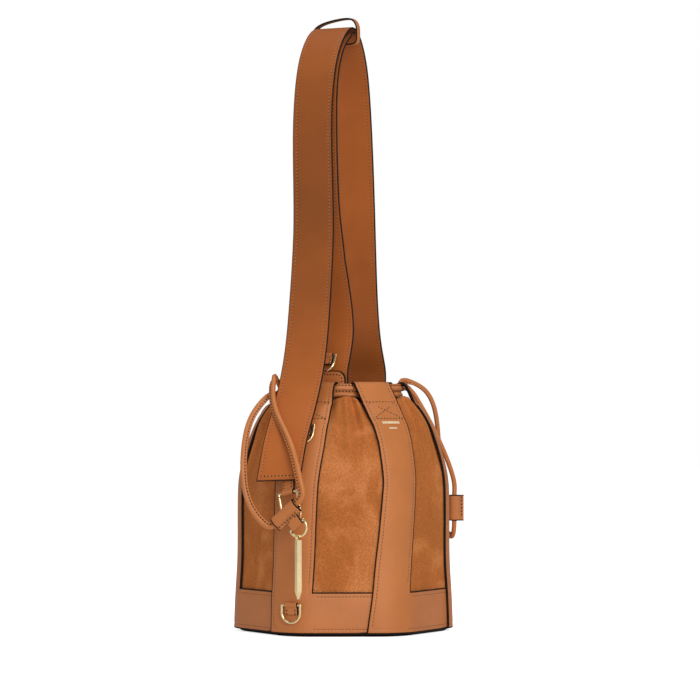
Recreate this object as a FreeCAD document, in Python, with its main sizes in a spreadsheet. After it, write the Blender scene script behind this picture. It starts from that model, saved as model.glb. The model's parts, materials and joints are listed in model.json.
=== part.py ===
import FreeCAD, Part
import math
import os

import Sketcher
from FreeCAD import Placement, Rotation, Vector

# A drawstring bucket bag on a rounded six-sided base. Millimetres, +Z up, origin at the centre of the
# underside. The front is -Y. Six leather strips stand on the six corners, at plan angles 0, 60, ... 300.

DIMENSIONS = {
    # wall levels, from the bottom up: height, half width across flats, and corner radius of the outer face
    "hem_z": 4.5, "hem_half": 92.7, "hem_corner": 42.5,
    "band_top_z": 39.5, "band_top_half": 91.0, "band_top_corner": 41.7,
    "belly_low_z": 65.0, "belly_low_half": 89.5, "belly_low_corner": 41.0,
    "belly_high_z": 135.0, "belly_high_half": 90.0, "belly_high_corner": 45.0,
    "shoulder_low_z": 165.0, "shoulder_low_half": 85.9, "shoulder_low_corner": 55.8,
    "shoulder_high_z": 192.0, "shoulder_high_half": 78.2, "shoulder_high_corner": 66.5,
    "mouth_z": 215.4, "mouth_half": 64.1, "mouth_corner": 60.9,
    # layers of the wall, as depths from the outer face
    "leather_depth": 2.0, "suede_near": 2.2, "suede_far": 3.4, "lining_near": 3.6, "lining_far": 4.4,
    "seam_gap": 0.2,
    # strips, panels and base
    "side_strip_width": 43.0, "strip_width": 36.0,
    "suede_bottom_z": 27.0, "suede_top_z": 213.2,
    "lining_bottom_z": 6.8, "lining_floor": 0.8, "lining_top_z": 211.5,
    "base_panel_top_z": 4.3, "base_bevel": 6.2, "base_inset": 0.4,
    "board_thickness": 2.0, "board_inset": 2.3,
    # belt loops at the top of the strips
    "loop_bottom_z": 213.6, "loop_top_z": 229.4, "loop_inner": 46.7, "loop_wall": 1.8,
    "loop_outer_bottom": 63.2, "loop_outer_top": 57.5,
    "anchor_tab_top_z": 239.0, "anchor_tab_wall": 2.0,
    # drawcords
    "cord_radius": 2.6, "neck_apothem": 51.8, "neck_corner": 12.0,
    "low_cord_z": 218.4, "high_cord_z": 224.1, "cord_split": 58.0, "cord_gap": 2.2,
    "sleeve_length": 27.6, "sleeve_width": 10.0, "sleeve_thickness": 7.6,
    "sleeve_flap": 3.4, "sleeve_flap_thickness": 2.4, "sleeve_bore": 3.4,
    # straps and keeper
    "strap_width": 40.0, "strap_thickness": 2.4, "anchor_x": 44.5,
    "keeper_x": -15.0, "keeper_bottom_z": 538.9, "keeper_top_z": 564.0,
    "keeper_inner_width": 46.0, "keeper_wall": 1.6, "keeper_band": 6.0,
    # rings on folded leather tabs; the tab is folded over the ring's straight bar
    "wire_radius": 1.2, "bar_bore": 1.26, "tab_fold_radius": 2.4,
    "tab_width": 12.4, "tab_thickness": 2.6, "tab_length": 8.6,
    "ring_half_width": 9.0, "ring_leg": 7.0, "strap_ring_offset": 8.0,
    "charm_tab_width": 13.0, "charm_tab_length": 7.4, "charm_ring_half_width": 8.6, "charm_ring_leg": 2.0,
    # spring clip and charm
    "clip_half_width": 9.5, "clip_side": 18.0, "gate_radius": 1.1, "gate_barrel": 1.5, "gate_gap": 0.2, "gate_stub": 2.2,
    "charm_width": 7.0, "charm_thickness": 4.0, "charm_length": 46.0, "charm_tip": 7.0,
    "charm_eye_radius": 3.2, "charm_eye_bore": 2.1, "charm_eye_width": 2.6,
}

LEVELS = ("hem", "band_top", "belly_low", "belly_high", "shoulder_low", "shoulder_high", "mouth")
SIDES = 6
SIDE_TURN = 60.0
TOOL_REACH = 130.0

# Corner strips by plan angle. Each is cut in one piece with the band section on its right.
STRIPS = {
    "side_strip_right": 0, "back_strip_right": 60, "back_strip_left": 120,
    "side_strip_left": 180, "front_strip_left": 240, "front_strip_right": 300,
}
SIDE_STRIPS = ("side_strip_left", "side_strip_right")

# Suede panels by the plan angle at which each one starts.
PANELS = {
    "panel_back_right": 0, "panel_back": 60, "panel_back_left": 120,
    "panel_front_left": 180, "panel_front": 240, "panel_front_right": 300,
}

# Mid-line of the long strap in the XZ plane: right anchor, over the top, down to the free tail.
LONG_STRAP = (
    (44.5, 222), (44.5, 231), (44.0, 240), (38.5, 256), (33, 275), (28, 312), (24, 375), (20, 435),
    (13.5, 495), (3.5, 533), (-15, 553.8), (-36, 541), (-51, 509), (-57, 455), (-55, 375), (-60, 300),
    (-68, 250), (-82, 208), (-95, 178), (-103, 158), (-109, 141),
)
# Mid-line of the short strap: left anchor, then under the long strap to its own pointed end.
SHORT_STRAP = (
    (-44.5, 222), (-44.5, 231), (-44.0, 240), (-37, 256), (-29.5, 275), (-27, 303), (-33, 345),
    (-42, 385), (-46, 425), (-47.5, 465), (-46, 500), (-39, 525), (-28, 540.5), (-14, 547.0),
    (-3, 539.5), (2, 525),
)

# Hanging part of each drawcord: corners on the way down and back up as (x, y, z, bend radius), the sleeve's
# two ends, and the straight lengths into and out of the sleeve with the bend radius beyond each.
LEFT_LOOP = {
    "side": -1, "height": "low_cord_z", "sleeve": ((-117, -17.3, 120.5), (-117, 4.1, 103.0)),
    "down": (
        (-66.5, 27.5, 218.4, 5), (-76, 28.4, 240, 7), (-90, 22.5, 212, 20), (-97, 12, 196, 40), (-110, -9, 169, 60),
    ),
    "lead_in": 10.0, "bend_in": 9.0, "lead_out": 7.5, "bend_out": 6.0,
    "back": ((-117.5, 31, 116, 16), (-115, 38, 150, 40), (-99, 43, 191, 30), (-80, 33.9, 218.4, 14)),
}
RIGHT_LOOP = {
    "side": 1, "height": "high_cord_z", "sleeve": ((80, -74, 100.5), (80, -74, 123.5)),
    "down": ((71, -27.5, 228, 8), (81, -52, 222, 9), (88, -54, 175, 40), (98, -50, 125, 40), (97, -54, 90, 9)),
    "lead_in": 16.5, "bend_in": 7.0, "lead_out": 16.0, "bend_out": 30.0,
    "back": ((66, -59, 187, 30), (67.5, -33.9, 224.1, 6)),
}

# Distances of a drawcord's two outlets from the XZ plane.
NEAR_OUTLET = 27.5
FAR_OUTLET = 33.9

# Spring clip: middle of its bar, sideways tilt as it hangs, and the lean of the tail that its tab follows.
CLIP_BAR = (-109.8, -5, 130.0)
CLIP_TILT = 12.0
TAIL_LEAN = 19.4

doc = FreeCAD.newDocument("bucket_bag")
sheet = doc.addObject("Spreadsheet::Sheet", "Dims")


def fill_sheet():
    for row, (alias, number) in enumerate(DIMENSIONS.items(), start=1):
        sheet.set(f"A{row}", alias)
        sheet.set(f"B{row}", str(number))
        sheet.setAlias(f"B{row}", alias)
    doc.recompute()


def size(expression):
    """The value of an expression over the sheet's aliases, such as "strap_width / 2"."""
    answer = sheet.evalExpression(with_sheet(expression))
    return float(getattr(answer, "Value", answer))


def with_sheet(expression):
    """Puts the sheet's name before every alias in an expression."""
    words = []
    for word in expression.replace("(", "( ").replace(")", " )").split():
        words.append(f"Dims.{word}" if word in DIMENSIONS else word)
    return " ".join(words)


def bind(thing, **properties):
    """Binds properties of an object to expressions over the sheet's aliases."""
    for name, expression in properties.items():
        thing.setExpression(name, with_sheet(expression))
    return thing


def along_z(turn_deg, *offset):
    """A placement turned about Z, then carried out along its own turned axes."""
    turn = Rotation(Vector(0, 0, 1), turn_deg)
    return Placement(turn.multVec(Vector(*offset)), turn)


# Sketches


def rounded_hexagon(sketch, half, corner, first_flat_deg):
    """A hexagon with tangent corner arcs; half is centre to flat, and the first flat faces first_flat_deg."""
    apothem = size(half)
    radius = size(corner)
    reach = apothem - radius
    for side in range(SIDES):
        facing = math.radians(first_flat_deg + SIDE_TURN * side)
        normal = Vector(math.cos(facing), math.sin(facing), 0)
        run = Vector(-normal.y, normal.x, 0) * (reach * math.tan(math.pi / SIDES))
        sketch.addGeometry(Part.LineSegment(normal * apothem - run, normal * apothem + run), False)
        circle = Part.Circle(normal * reach + run, Vector(0, 0, 1), radius)
        sketch.addGeometry(Part.ArcOfCircle(circle, facing, facing + math.pi / 3), False)
    guide = sketch.addGeometry(Part.Circle(Vector(0, 0, 0), Vector(0, 0, 1), apothem), True)
    sketch.addConstraint(Sketcher.Constraint("Coincident", guide, 3, -1, 1))
    for side in range(SIDES):
        line, arc, following = 2 * side, 2 * side + 1, (2 * side + 2) % (2 * SIDES)
        sketch.addConstraint(Sketcher.Constraint("Tangent", line, 2, arc, 1))
        sketch.addConstraint(Sketcher.Constraint("Tangent", arc, 2, following, 1))
        sketch.addConstraint(Sketcher.Constraint("Tangent", line, guide))
        heading = math.radians(first_flat_deg + SIDE_TURN * side + 90)
        sketch.addConstraint(Sketcher.Constraint("Angle", line, heading))
        if side:
            sketch.addConstraint(Sketcher.Constraint("Equal", 1, arc))
    for geometry, number, expression in ((1, radius, corner), (guide, apothem, half)):
        index = sketch.addConstraint(Sketcher.Constraint("Radius", geometry, number))
        sketch.setExpression(f"Constraints[{index}]", with_sheet(expression))
    return sketch


def polygon(sketch, corners):
    """A closed outline whose corner coordinates are pairs of expressions over the sheet's aliases."""
    first = sketch.GeometryCount
    points = [Vector(size(x), size(y), 0) for x, y in corners]
    count = len(points)
    for index in range(count):
        sketch.addGeometry(Part.LineSegment(points[index], points[(index + 1) % count]), False)
    for index in range(count):
        following = first + (index + 1) % count
        sketch.addConstraint(Sketcher.Constraint("Coincident", first + index, 2, following, 1))
    for index, corner in enumerate(corners):
        for kind, expression in zip(("DistanceX", "DistanceY"), corner):
            number = size(expression)
            constraint = Sketcher.Constraint(kind, -1, 1, first + index, 1, number)
            place = sketch.addConstraint(constraint)
            sketch.setExpression(f"Constraints[{place}]", with_sheet(expression))
    return sketch


def body_sketch(body, name, plane):
    """A sketch on one of the body's own origin planes."""
    sketch = body.newObject("Sketcher::SketchObject", name)
    features = body.Origin.OriginFeatures
    sketch.AttachmentSupport = [(next(f for f in features if f.Role == plane), "")]
    sketch.MapMode = "FlatFace"
    return sketch


def hexagon_level(name, height, half, corner, first_flat_deg=30.0):
    sketch = doc.addObject("Sketcher::SketchObject", name)
    bind(sketch, **{"Placement.Base.z": height})
    return rounded_hexagon(sketch, half, corner, first_flat_deg)


# Construction solids


def loft(name, sections):
    """A ruled solid through closed sketches."""
    solid = doc.addObject("Part::Loft", name)
    solid.Sections = sections
    solid.Solid = True
    solid.Ruled = True
    return solid


def bag_form(name, depth, bottom="hem_z", top="mouth_z"):
    """The bag's outer form moved inwards by depth, between two heights near its ends."""
    heights = {"hem": bottom, "mouth": top}
    sections = []
    for level in LEVELS:
        height = heights.get(level, f"{level}_z")
        half = f"{level}_half - {depth}"
        corner = f"{level}_corner - {depth}"
        sections.append(hexagon_level(f"{name}_{level}", height, half, corner))
    return loft(name, sections)


def cut(name, base, tool):
    result = doc.addObject("Part::Cut", name)
    result.Base = base
    result.Tool = tool
    return result


def common(name, *solids):
    result = doc.addObject("Part::MultiCommon", name)
    result.Shapes = list(solids)
    return result


def fuse(name, *solids):
    result = doc.addObject("Part::MultiFuse", name)
    result.Shapes = list(solids)
    return result


def box(name, length, width, height):
    return bind(doc.addObject("Part::Box", name), Length=length, Width=width, Height=height)


def cylinder(name, radius, height, placement=None):
    solid = bind(doc.addObject("Part::Cylinder", name), Radius=radius, Height=height)
    solid.Placement = placement or Placement()
    return solid


def sector(name, start_deg, bottom, top, gap_deg):
    """A wedge of one sixth of a turn that starts at a corner strip, short of its ends by gap_deg."""
    wedge = cylinder(name, str(TOOL_REACH), f"{top} - ({bottom})")
    wedge.Angle = SIDE_TURN - 2 * gap_deg
    wedge.Placement = along_z(start_deg + gap_deg, 0, 0, size(bottom))
    return wedge


def slab(name, turn_deg, width):
    """An upright slab of the given width that runs outwards from the bag's axis."""
    tool = box(name, str(TOOL_REACH), width, "mouth_z + 1")
    tool.Placement = along_z(turn_deg, 0, -size(width) / 2, 0)
    return tool


# Bag body


def strip_width(name):
    return "side_strip_width" if name in SIDE_STRIPS else "strip_width"


def belt_loop(name):
    """Folded end of a strip round the drawcord channel; the side strips carry on up as an anchor tab."""
    body = doc.addObject("PartDesign::Body", f"{name}_loop")
    profile = body_sketch(body, f"{name}_loop_profile", "XZ_Plane")
    outline = [
        ("loop_inner", "loop_bottom_z"), ("loop_outer_bottom", "loop_bottom_z"),
        ("loop_outer_top", "loop_top_z"), ("loop_inner", "loop_top_z"),
    ]
    if name in SIDE_STRIPS:
        outline[3:] = [
            ("loop_inner + anchor_tab_wall", "loop_top_z"), ("loop_inner + anchor_tab_wall", "anchor_tab_top_z"),
            ("loop_inner", "anchor_tab_top_z"),
        ]
    polygon(profile, outline)
    polygon(profile, (
        ("loop_inner + loop_wall", "loop_bottom_z + loop_wall"),
        ("loop_outer_bottom - 2 * loop_wall + 0.4", "loop_bottom_z + loop_wall"),
        ("loop_outer_top - loop_wall", "loop_top_z - loop_wall"),
        ("loop_inner + loop_wall", "loop_top_z - loop_wall"),
    ))
    pad = body.newObject("PartDesign::Pad", f"{name}_loop_pad")
    pad.Profile = profile
    pad.Midplane = True
    bind(pad, Length=strip_width(name))
    body.Placement = along_z(STRIPS[name], 0, 0, 0)
    return body


def leather_frame():
    """Six L-shaped pieces: corner strip, belt loop and one section of the base band."""
    wall = cut("leather_wall", bag_form("leather_outside", "0"), bag_form("leather_inside", "leather_depth"))
    names = list(STRIPS)
    for index, name in enumerate(names):
        following = names[(index + 1) % SIDES]
        turn = STRIPS[name]
        strip = common(f"{name}_upright", wall, slab(f"{name}_slab", turn, strip_width(name)))
        wedge = sector(f"{name}_wedge", turn, "hem_z - 1", "band_top_z", 0.0)
        clearance = f"{strip_width(following)} + 2 * seam_gap"
        neighbour = slab(f"{name}_neighbour", STRIPS[following], clearance)
        band = cut(f"{name}_band", common(f"{name}_arc", wall, wedge), neighbour)
        piece = fuse(name, strip, band, belt_loop(name))
        piece.Refine = True
        SUBPARTS.append(piece)


def suede_panels():
    wall = cut("suede_wall", bag_form("suede_outside", "suede_near"), bag_form("suede_inside", "suede_far"))
    for name, start in PANELS.items():
        wedge = sector(f"{name}_wedge", start, "suede_bottom_z", "suede_top_z", 0.15)
        SUBPARTS.append(common(name, wall, wedge))


def lining():
    outside = bag_form("lining_outside", "lining_near", "lining_bottom_z", "lining_top_z")
    floor = "lining_bottom_z + lining_floor"
    inside = bag_form("lining_inside", "lining_far", floor, "lining_top_z")
    SUBPARTS.append(cut("lining", outside, inside))


def base():
    """Bevelled bottom panel, and the stiffener board that lies on it inside the band."""
    underside = hexagon_level("underside", "0", "hem_half - base_bevel", "hem_corner - base_bevel")
    rim = hexagon_level("rim", "base_panel_top_z", "hem_half - base_inset", "hem_corner - base_inset")
    SUBPARTS.append(loft("base_panel", [underside, rim]))
    body = doc.addObject("PartDesign::Body", "base_board")
    outline = body_sketch(body, "board_outline", "XY_Plane")
    rounded_hexagon(outline, "hem_half - board_inset", "hem_corner - board_inset", 30.0)
    pad = body.newObject("PartDesign::Pad", "board_pad")
    pad.Profile = outline
    bind(pad, Length="board_thickness")
    bind(body, **{"Placement.Base.z": "hem_z + 0.1"})
    SUBPARTS.append(body)


# Drawcords


def rounded_path(corners, radii):
    """A flat polyline whose inner corners are rounded by tangent arcs."""
    edges = []
    start = corners[0]
    for before, corner, after, radius in zip(corners, corners[1:], corners[2:], radii):
        back = (before - corner).normalize()
        ahead = (after - corner).normalize()
        half_angle = back.getAngle(ahead) / 2
        trim = radius / math.tan(half_angle)
        middle = corner + (back + ahead).normalize() * (radius / math.sin(half_angle) - radius)
        edges.append(Part.makeLine(start, corner + back * trim))
        edges.append(Part.Arc(corner + back * trim, middle, corner + ahead * trim).toShape())
        start = corner + ahead * trim
    edges.append(Part.makeLine(start, corners[-1]))
    return Part.Wire(edges)


def sweep(name, path, section):
    """A solid made by carrying a closed section along a wire; the section already stands at its start."""
    spine = doc.addObject("Part::Feature", f"{name}_path")
    spine.Shape = path
    solid = doc.addObject("Part::Sweep", name)
    solid.Sections = [section]
    solid.Spine = (spine, [f"Edge{index + 1}" for index in range(len(path.Edges))])
    solid.Solid = True
    solid.Frenet = False
    return solid


def cord(name, path):
    """A round drawcord along a wire."""
    edge = path.OrderedEdges[0]
    heading = edge.tangentAt(edge.FirstParameter)
    section = bind(doc.addObject("Part::Circle", f"{name}_section"), Radius="cord_radius")
    section.Placement = Placement(edge.valueAt(edge.FirstParameter), Rotation(Vector(0, 0, 1), heading))
    return sweep(name, path, section)


def neck_cord(name, turn_deg, height):
    """The cord through the six belt loops, from one outlet right round to the other beside it."""
    apothem = size("neck_apothem")
    vertex = apothem / math.cos(math.pi / SIDES)
    bend = 5.0
    outlet = size("cord_split")
    run = Vector(math.sin(math.radians(-60)), -math.cos(math.radians(-60)), 0)
    last_flat = Vector(math.cos(math.radians(-60)), math.sin(math.radians(-60)), 0) * apothem
    reach = (-FAR_OUTLET - last_flat.y) / -run.y
    corners = [Vector(outlet, -NEAR_OUTLET, 0), Vector(apothem, -NEAR_OUTLET, 0)]
    for side in range(SIDES - 1):
        corner_at = math.radians(30 + SIDE_TURN * side)
        corners.append(Vector(math.cos(corner_at), math.sin(corner_at), 0) * vertex)
    corners.append(Vector(last_flat.x - run.x * reach, -FAR_OUTLET, 0))
    corners.append(Vector(outlet, -FAR_OUTLET, 0))
    radii = [bend] + [size("neck_corner")] * (SIDES - 1) + [2 * bend]
    path = rounded_path(corners, radii)
    path.Placement = along_z(turn_deg, 0, 0, size(height))
    SUBPARTS.append(cord(name, path))


def hanging_cord(name, loop):
    """One drawcord's loop: from its outlet down to the sleeve, straight through it, and back up."""
    side = loop["side"]
    reach = side * (size("cord_split") + size("cord_gap"))
    height = size(loop["height"])
    outlet = Vector(reach, -side * NEAR_OUTLET, height)
    inlet = Vector(reach, -side * FAR_OUTLET, height)
    entry, leaving = (Vector(*point) for point in loop["sleeve"])
    along = (leaving - entry).normalize()
    corners = [outlet] + [Vector(*corner[:3]) for corner in loop["down"]]
    corners += [entry - along * loop["lead_in"], leaving + along * loop["lead_out"]]
    corners += [Vector(*corner[:3]) for corner in loop["back"]] + [inlet]
    radii = [corner[3] for corner in loop["down"]] + [loop["bend_in"], loop["bend_out"]]
    radii += [corner[3] for corner in loop["back"]]
    SUBPARTS.append(cord(name, rounded_path(corners, radii)))


def left_sleeve_axes():
    """Directions along the left sleeve and down across it, towards its stitched flap."""
    entry, leaving = (Vector(*point) for point in LEFT_LOOP["sleeve"])
    along = (leaving - entry).normalize()
    return along, Vector(-1, 0, 0).cross(along)


def cord_sleeve(name, sleeve, flap_towards):
    """Leather wrapped round the joined cord ends, its two edges stitched together as a flap."""
    entry, leaving = (Vector(*point) for point in sleeve)
    body = doc.addObject("PartDesign::Body", name)
    profile = body_sketch(body, f"{name}_profile", "XY_Plane")
    wide, thick, flap = "sleeve_width / 2", "sleeve_thickness / 2", "sleeve_flap_thickness / 2"
    end = "0 - sleeve_width / 2 - sleeve_flap"
    polygon(profile, (
        (wide, f"0 - {thick}"), (wide, thick), (f"0 - {wide}", thick), (f"0 - {wide}", flap),
        (end, flap), (end, f"0 - {flap}"), (f"0 - {wide}", f"0 - {flap}"), (f"0 - {wide}", f"0 - {thick}"),
    ))
    hole = profile.addGeometry(Part.Circle(Vector(0, 0, 0), Vector(0, 0, 1), size("sleeve_bore")), False)
    profile.addConstraint(Sketcher.Constraint("Coincident", hole, 3, -1, 1))
    index = profile.addConstraint(Sketcher.Constraint("Radius", hole, size("sleeve_bore")))
    profile.setExpression(f"Constraints[{index}]", "Dims.sleeve_bore")
    pad = body.newObject("PartDesign::Pad", f"{name}_pad")
    pad.Profile = profile
    pad.Length = (leaving - entry).Length
    along = (leaving - entry).normalize()
    across = flap_towards * -1
    body.Placement = Placement(entry, Rotation(across, along.cross(across), along, "ZXY"))
    SUBPARTS.append(body)


# Straps


def spline_in_xz(points):
    curve = Part.BSplineCurve()
    curve.interpolate([Vector(x, 0, z) for x, z in points])
    return Part.Wire([curve.toShape()])


def strap(name, points):
    """A flat strap swept along a mid-line in the XZ plane, its width along Y."""
    path = spline_in_xz(points)
    edge = path.Edges[0]
    heading = edge.tangentAt(edge.FirstParameter)
    section = doc.addObject("Sketcher::SketchObject", f"{name}_section")
    half_width, half_thick = "strap_width / 2", "strap_thickness / 2"
    polygon(section, (
        (half_thick, f"0 - {half_width}"), (half_thick, half_width),
        (f"0 - {half_thick}", half_width), (f"0 - {half_thick}", f"0 - {half_width}"),
    ))
    start = edge.valueAt(edge.FirstParameter)
    section.Placement = Placement(start, Rotation(Vector(0, 0, 1), heading))
    return sweep(f"{name}_sweep", path, section)


def trimming_box(name, corner, tilt_deg, turn_deg=0.0):
    """A block whose upper face trims a strap's end; corner is the middle of that face's near edge."""
    depth = 30.0
    block = box(name, "2 * strap_width", "2 * strap_width", str(depth))
    turn = Rotation(Vector(1, 0, 0), tilt_deg) * Rotation(Vector(0, 0, 1), turn_deg)
    middle = Vector(-size("strap_width"), -size("strap_width"), -depth)
    block.Placement = Placement(corner + turn.multVec(middle), turn)
    return block


def straps():
    """Long strap with a slanting tail, and short strap with a pointed end."""
    slant = trimming_box("tail_slant", Vector(-109, 0, 144.5), -10.0)
    SUBPARTS.append(cut("long_strap", strap("long", LONG_STRAP), slant))
    point_z = 530.0
    blocks = []
    for side in (-1, 1):
        block = trimming_box(f"point_{'near' if side < 0 else 'far'}", Vector(2, 0, point_z - 6), side * 25.0)
        blocks.append(block)
    keep_out = box("point_clearance", "40", "2 * strap_width", "100")
    keep_out.Placement = Placement(Vector(-12 - 40, -size("strap_width"), 460), Rotation())
    trim = cut("point_trim", common("point_blocks", *blocks), keep_out)
    SUBPARTS.append(cut("short_strap", strap("short", SHORT_STRAP), trim))


def strap_keeper():
    """A thin loop that stands round both strap layers at the top."""
    body = doc.addObject("PartDesign::Body", "strap_keeper")
    profile = body_sketch(body, "keeper_profile", "YZ_Plane")
    inner = "keeper_inner_width / 2"
    outer = f"{inner} + keeper_wall"
    polygon(profile, (
        (f"0 - ({outer})", "keeper_bottom_z"), (outer, "keeper_bottom_z"),
        (outer, "keeper_top_z"), (f"0 - ({outer})", "keeper_top_z"),
    ))
    polygon(profile, (
        (f"0 - {inner}", "keeper_bottom_z + keeper_wall"), (inner, "keeper_bottom_z + keeper_wall"),
        (inner, "keeper_top_z - keeper_wall"), (f"0 - {inner}", "keeper_top_z - keeper_wall"),
    ))
    pad = body.newObject("PartDesign::Pad", "keeper_pad")
    pad.Profile = profile
    pad.Midplane = True
    bind(pad, Length="keeper_band")
    bind(body, **{"Placement.Base.x": "keeper_x"})
    SUBPARTS.append(body)


# Rings and tabs, drawn with the bar along Y through the origin, the ring hanging down, +X outwards


BAR_ALONG_Y = Rotation(Vector(1, 0, 0), 90)


def folded_tab(name, placement, width="tab_width", length="tab_length"):
    """A leather tab folded over a ring's bar, with both of its ends lying below the fold."""
    plate = box(f"{name}_plate", "tab_thickness", width, length)
    plate.Placement = Placement(Vector(-size("tab_fold_radius"), -size(width) / 2, -size(length)), Rotation())
    half = Vector(0, size(width) / 2, 0)
    fold = cylinder(f"{name}_fold", "tab_fold_radius", width, Placement(half, BAR_ALONG_Y))
    bore = cylinder(f"{name}_bore", "bar_bore", f"{width} + 2", Placement(half + Vector(0, 1, 0), BAR_ALONG_Y))
    tab = cut(name, fuse(f"{name}_leather", plate, fold), bore)
    tab.Placement = placement
    SUBPARTS.append(tab)


def half_ring(name, radius, wire, centre_z, upper):
    """Half of a torus in the YZ plane."""
    ring = bind(doc.addObject("Part::Torus", name), Radius1=radius, Radius2=wire)
    ring.Angle3 = 180
    rise = 1 if upper else -1
    in_yz = Rotation(Vector(0, 1, 0), Vector(0, 0, rise), Vector(rise, 0, 0), "ZXY")
    ring.Placement = Placement(Vector(0, 0, centre_z), in_yz)
    return ring


def d_ring(name, placement, half_width="ring_half_width", leg="ring_leg", open_side=0):
    """A wire D: straight bar, two legs and a half-round bow; the leg on open_side is only a stub."""
    reach = size(half_width)
    drop = size(leg)
    parts = [cylinder(f"{name}_bar", "wire_radius", f"2 * {half_width}", Placement(Vector(0, reach, 0), BAR_ALONG_Y))]
    for side in (-1, 1):
        word = "near" if side < 0 else "far"
        knuckle = bind(doc.addObject("Part::Sphere", f"{name}_{word}_knuckle"), Radius="wire_radius")
        knuckle.Placement.Base = Vector(0, side * reach, 0)
        parts.append(knuckle)
        length = "gate_stub" if side == open_side else leg
        shank = Placement(Vector(0, side * reach, -size(length)), Rotation())
        parts.append(cylinder(f"{name}_{word}_leg", "wire_radius", length, shank))
    parts.append(half_ring(f"{name}_bow", half_width, "wire_radius", -drop, False))
    ring = fuse(name, *parts)
    ring.Placement = placement
    SUBPARTS.append(ring)


def on_strip(turn_deg, radius, height, lean_deg=0.0, bend=0.0, swing_deg=0.0):
    """A place on a corner strip: +X out along the strip's normal, leaning back by lean_deg.

    The place is carried swing_deg round the strip's own rounding, whose radius is bend.
    """
    turn = Rotation(Vector(0, 0, 1), turn_deg)
    swing = Rotation(Vector(0, 0, 1), swing_deg)
    lean = Rotation(Vector(0, 1, 0), -lean_deg)
    spot = Vector(radius - bend, 0, height) + swing.multVec(Vector(bend, 0, 0))
    return Placement(turn.multVec(spot), turn * swing * lean)


def side_rings():
    """Two rings on each side strip: one low on the band and one on the shoulder."""
    for word, turn in (("right", 0), ("left", 180)):
        low = on_strip(turn, 102.5, 28.8, bend=45.0, swing_deg=5.1)
        high = on_strip(turn, 85.4, 190.0, lean_deg=21.0, bend=70.0, swing_deg=7.0)
        for level, place in (("lower", low), ("upper", high)):
            folded_tab(f"{level}_d_tab_{word}", place)
            d_ring(f"{level}_d_ring_{word}", place)


def strap_ring():
    """A ring on the outer face of the near strap leg."""
    place = on_strip(180, 43.9, 253.5, lean_deg=27.0) * Placement(Vector(0, size("strap_ring_offset"), 0), Rotation())
    folded_tab("strap_d_tab", place)
    d_ring("strap_d_ring", place)


def spring_clip():
    """A long ring that hangs from a tab on the tail's inner face; one straight side is a sprung gate."""
    hang = Rotation(Vector(1, 0, 0), -CLIP_TILT)
    centre = Placement(Vector(*CLIP_BAR), hang * Rotation(Vector(0, 0, 1), 180))
    tab_place = Placement(centre.Base, hang * Rotation(Vector(0, 1, 0), 180 + TAIL_LEAN))
    folded_tab("clip_tab", tab_place, length="2 * tab_length")
    d_ring("clip_ring", centre, "clip_half_width", "clip_side", open_side=-1)
    gate_y = -size("clip_half_width")
    above = "gate_stub + gate_gap + gate_radius"
    below = "gate_barrel + gate_gap"
    pivot = Vector(0, gate_y, size(below) - size("clip_side"))
    stem = cylinder("gate_stem", "gate_radius", f"clip_side - ( {above} ) - ( {below} )", Placement(pivot, Rotation()))
    nose = bind(doc.addObject("Part::Sphere", "gate_nose"), Radius="gate_radius")
    nose.Placement.Base = Vector(0, gate_y, -size(above))
    across = Placement(pivot - Vector(size("gate_barrel"), 0, 0), Rotation(Vector(0, 1, 0), 90))
    barrel = cylinder("gate_barrel", "gate_barrel", "2 * gate_barrel", across)
    gate = fuse("clip_gate", stem, nose, barrel)
    gate.Placement = centre
    SUBPARTS.append(gate)


def charm():
    """Tab and ring on the left sleeve, and a plain bar with a kite section and a wedge tip."""
    entry, leaving = (Vector(*point) for point in LEFT_LOOP["sleeve"])
    along, downward = left_sleeve_axes()
    from_middle = size("sleeve_width") / 2 + size("sleeve_flap") + size("charm_tab_length") + 0.1
    bar_centre = (entry + leaving) / 2 + downward * from_middle - along * 2.8
    frame = Rotation(Vector(-1, 0, 0), along * -1, downward * -1, "ZXY")
    place = Placement(bar_centre, frame)
    tab_place = Placement(bar_centre, frame * Rotation(Vector(0, 1, 0), 180))
    folded_tab("charm_tab", tab_place, "charm_tab_width", "charm_tab_length")
    d_ring("charm_ring", place, "charm_ring_half_width", "charm_ring_leg")
    lowest = bar_centre + downward * size("charm_ring_leg") + Vector(0, 0, -size("charm_ring_half_width"))

    body = doc.addObject("PartDesign::Body", "charm_bar")
    sections = []
    half_width, half_thick = "charm_width / 2", "charm_thickness / 2"
    levels = (("top", "0", 1.0), ("shoulder", "0 - charm_length", 1.0), ("tip", "0 - charm_length - charm_tip", 0.3))
    for word, height, share in levels:
        sketch = body_sketch(body, f"bar_{word}", "XY_Plane")
        bind(sketch, **{"AttachmentOffset.Base.z": height})
        polygon(sketch, (
            (f"{half_thick} * {share}", "0"), ("0", f"{half_width} * {share}"),
            (f"0 - {half_thick} * {share}", "0"), ("0", f"0 - {half_width} * {share}"),
        ))
        sections.append(sketch)
    bar = body.newObject("PartDesign::AdditiveLoft", "bar_loft")
    bar.Profile = sections[0]
    bar.Sections = sections[1:]
    bar.Ruled = True
    body.Placement.Base = Vector(0, 0, -size("charm_eye_radius") + 0.4)

    half = Vector(0, size("charm_eye_width") / 2, 0)
    eye = cylinder("charm_eye", "charm_eye_radius", "charm_eye_width", Placement(half, BAR_ALONG_Y))
    bore_start = Placement(Vector(0, 6, 0), BAR_ALONG_Y)
    bore = cylinder("charm_bore", "charm_eye_bore", "12", bore_start)
    piece = cut("charm", fuse("charm_metal", body, eye), bore)
    piece.Placement.Base = lowest
    SUBPARTS.append(piece)


# Assembly and export

SUBPARTS = []


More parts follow.
